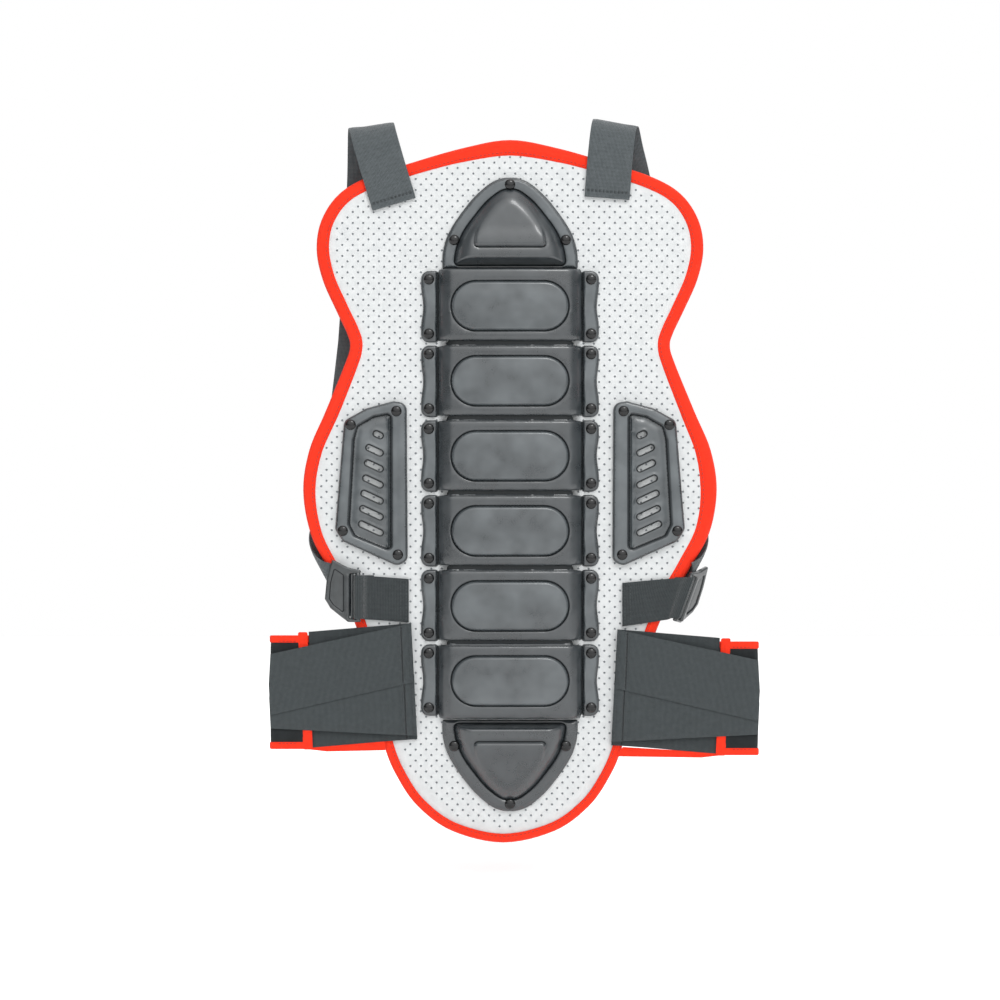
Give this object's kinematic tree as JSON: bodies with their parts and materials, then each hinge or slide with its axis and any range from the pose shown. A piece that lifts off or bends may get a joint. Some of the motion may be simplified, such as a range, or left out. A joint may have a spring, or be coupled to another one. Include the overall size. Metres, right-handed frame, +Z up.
{
  "type": "motorcycle back protector",
  "caption": "Articulated back protector: overlapping spine plates and vented side plates riveted to a padded, edge-bound panel, with shoulder straps and a wrap-round kidney belt.",
  "frame": {"origin": "centre of the middle cushion's flat face, where the protector lies against the wearer's spine", "axes": "+Z up the spine, +Y out of the cushion face towards the wearer, -Y towards the outer, plated side, +X to the wearer's right hand side as seen from outside"},
  "size_m": [0.399, 0.0495, 0.5962],
  "materials": {
    "pad_mesh": "White knitted cover over foam, punched with a staggered grid of small holes",
    "edge_binding": "Red-orange woven edge tape, folded over the edge and stitched",
    "lining": "Dark grey spacer mesh on the wearer side",
    "cushion_cover": "Dark grey padded mesh cover",
    "plate": "Dark grey injection-moulded plastic, satin with a fine grain",
    "rivet": "Black domed push rivet, slightly glossy",
    "strap_elastic": "Grey ribbed elastic",
    "webbing": "Dark grey woven webbing",
    "buckle": "Dark grey moulded nylon",
    "belt_elastic": "Dark grey wide woven elastic",
    "closure_fabric": "Near-black brushed loop fabric"
  },
  "bodies": {
    "middle_back": {"middle_pad": "pad_mesh", "middle_binding": "edge_binding", "middle_lining": "lining", "middle_cushion": "cushion_cover", "spine_plate_2": "plate", "spine_plate_3": "plate", "spine_plate_4": "plate", "middle_rivets": "rivet", "left_kidney_plate": "plate", "right_kidney_plate": "plate", "left_strap_rear": "strap_elastic", "right_strap_rear": "strap_elastic"},
    "upper_back": {"upper_pad": "pad_mesh", "upper_binding": "edge_binding", "upper_lining": "lining", "upper_cushion": "cushion_cover", "top_plate": "plate", "spine_plate_1": "plate", "upper_rivets": "rivet", "left_strap_top": "strap_elastic", "right_strap_top": "strap_elastic"},
    "lumbar": {"lumbar_pad": "pad_mesh", "lumbar_binding": "edge_binding", "lumbar_lining": "lining", "lumbar_cushion": "cushion_cover", "spine_plate_5": "plate", "spine_plate_6": "plate", "lumbar_rivets": "rivet", "left_strap_end": "strap_elastic", "left_side_webbing": "webbing", "left_belt_root": "belt_elastic", "left_upper_band_root": "belt_elastic", "left_lower_band_root": "belt_elastic", "right_strap_end": "strap_elastic", "right_side_webbing": "webbing", "right_belt_root": "belt_elastic", "right_upper_band_root": "belt_elastic", "right_lower_band_root": "belt_elastic"},
    "tail": {"tail_pad": "pad_mesh", "tail_binding": "edge_binding", "tail_lining": "lining", "tail_cushion": "cushion_cover", "tail_plate": "plate", "tail_rivets": "rivet"},
    "left_wing": {"left_belt_wing": "belt_elastic", "left_upper_band": "belt_elastic", "left_lower_band": "belt_elastic", "left_closure_tab": "closure_fabric", "left_closure_tab_binding": "edge_binding"},
    "left_flap": {"left_closure_flap": "closure_fabric", "left_closure_flap_binding": "edge_binding"},
    "left_lock": {"left_buckle": "buckle"},
    "right_wing": {"right_belt_wing": "belt_elastic", "right_upper_band": "belt_elastic", "right_lower_band": "belt_elastic", "right_closure_tab": "closure_fabric", "right_closure_tab_binding": "edge_binding"},
    "right_flap": {"right_closure_flap": "closure_fabric", "right_closure_flap_binding": "edge_binding"},
    "right_lock": {"right_buckle": "buckle"}
  },
  "joints": [
    {"name": "upper_back_flex", "type": "hinge", "parent": "middle_back", "child": "upper_back", "pos_m": [0, 0, 0.09187], "axis": [-1, 0, 0], "range_deg": [-3, 16], "stiffness_Nm_per_rad": 4},
    {"name": "lumbar_flex", "type": "hinge", "parent": "middle_back", "child": "lumbar", "pos_m": [0, 0, -0.09187], "axis": [1, 0, 0], "range_deg": [0, 16], "stiffness_Nm_per_rad": 3},
    {"name": "tail_flex", "type": "hinge", "parent": "lumbar", "child": "tail", "pos_m": [0, 0, -0.21497], "axis": [1, 0, 0], "range_deg": [0, 20], "stiffness_Nm_per_rad": 1.5},
    {"name": "left_wing_fold", "type": "hinge", "parent": "lumbar", "child": "left_wing", "pos_m": [-0.13, -0.0179, -0.19], "axis": [0, 0, -1], "range_deg": [-15, 80]},
    {"name": "right_wing_fold", "type": "hinge", "parent": "lumbar", "child": "right_wing", "pos_m": [0.137, -0.0179, -0.195], "axis": [0, 0, 1], "range_deg": [-15, 80]},
    {"name": "left_flap_fold", "type": "hinge", "parent": "left_wing", "child": "left_flap", "pos_m": [-0.1975, -0.0179, -0.1935], "axis": [0, 0, 1], "range_deg": [0, 170]},
    {"name": "right_flap_fold", "type": "hinge", "parent": "right_wing", "child": "right_flap", "pos_m": [0.2045, -0.0179, -0.1985], "axis": [0, 0, -1], "range_deg": [0, 170]},
    {"name": "left_buckle_tilt", "type": "hinge", "parent": "lumbar", "child": "left_lock", "pos_m": [-0.1245, -0.0224, -0.1155], "axis": [0, 0, 1], "range_deg": [0, 45]},
    {"name": "right_buckle_tilt", "type": "hinge", "parent": "lumbar", "child": "right_lock", "pos_m": [0.142, -0.0224, -0.116], "axis": [-0.342, 0, -0.9397], "range_deg": [0, 75]}
  ]
}
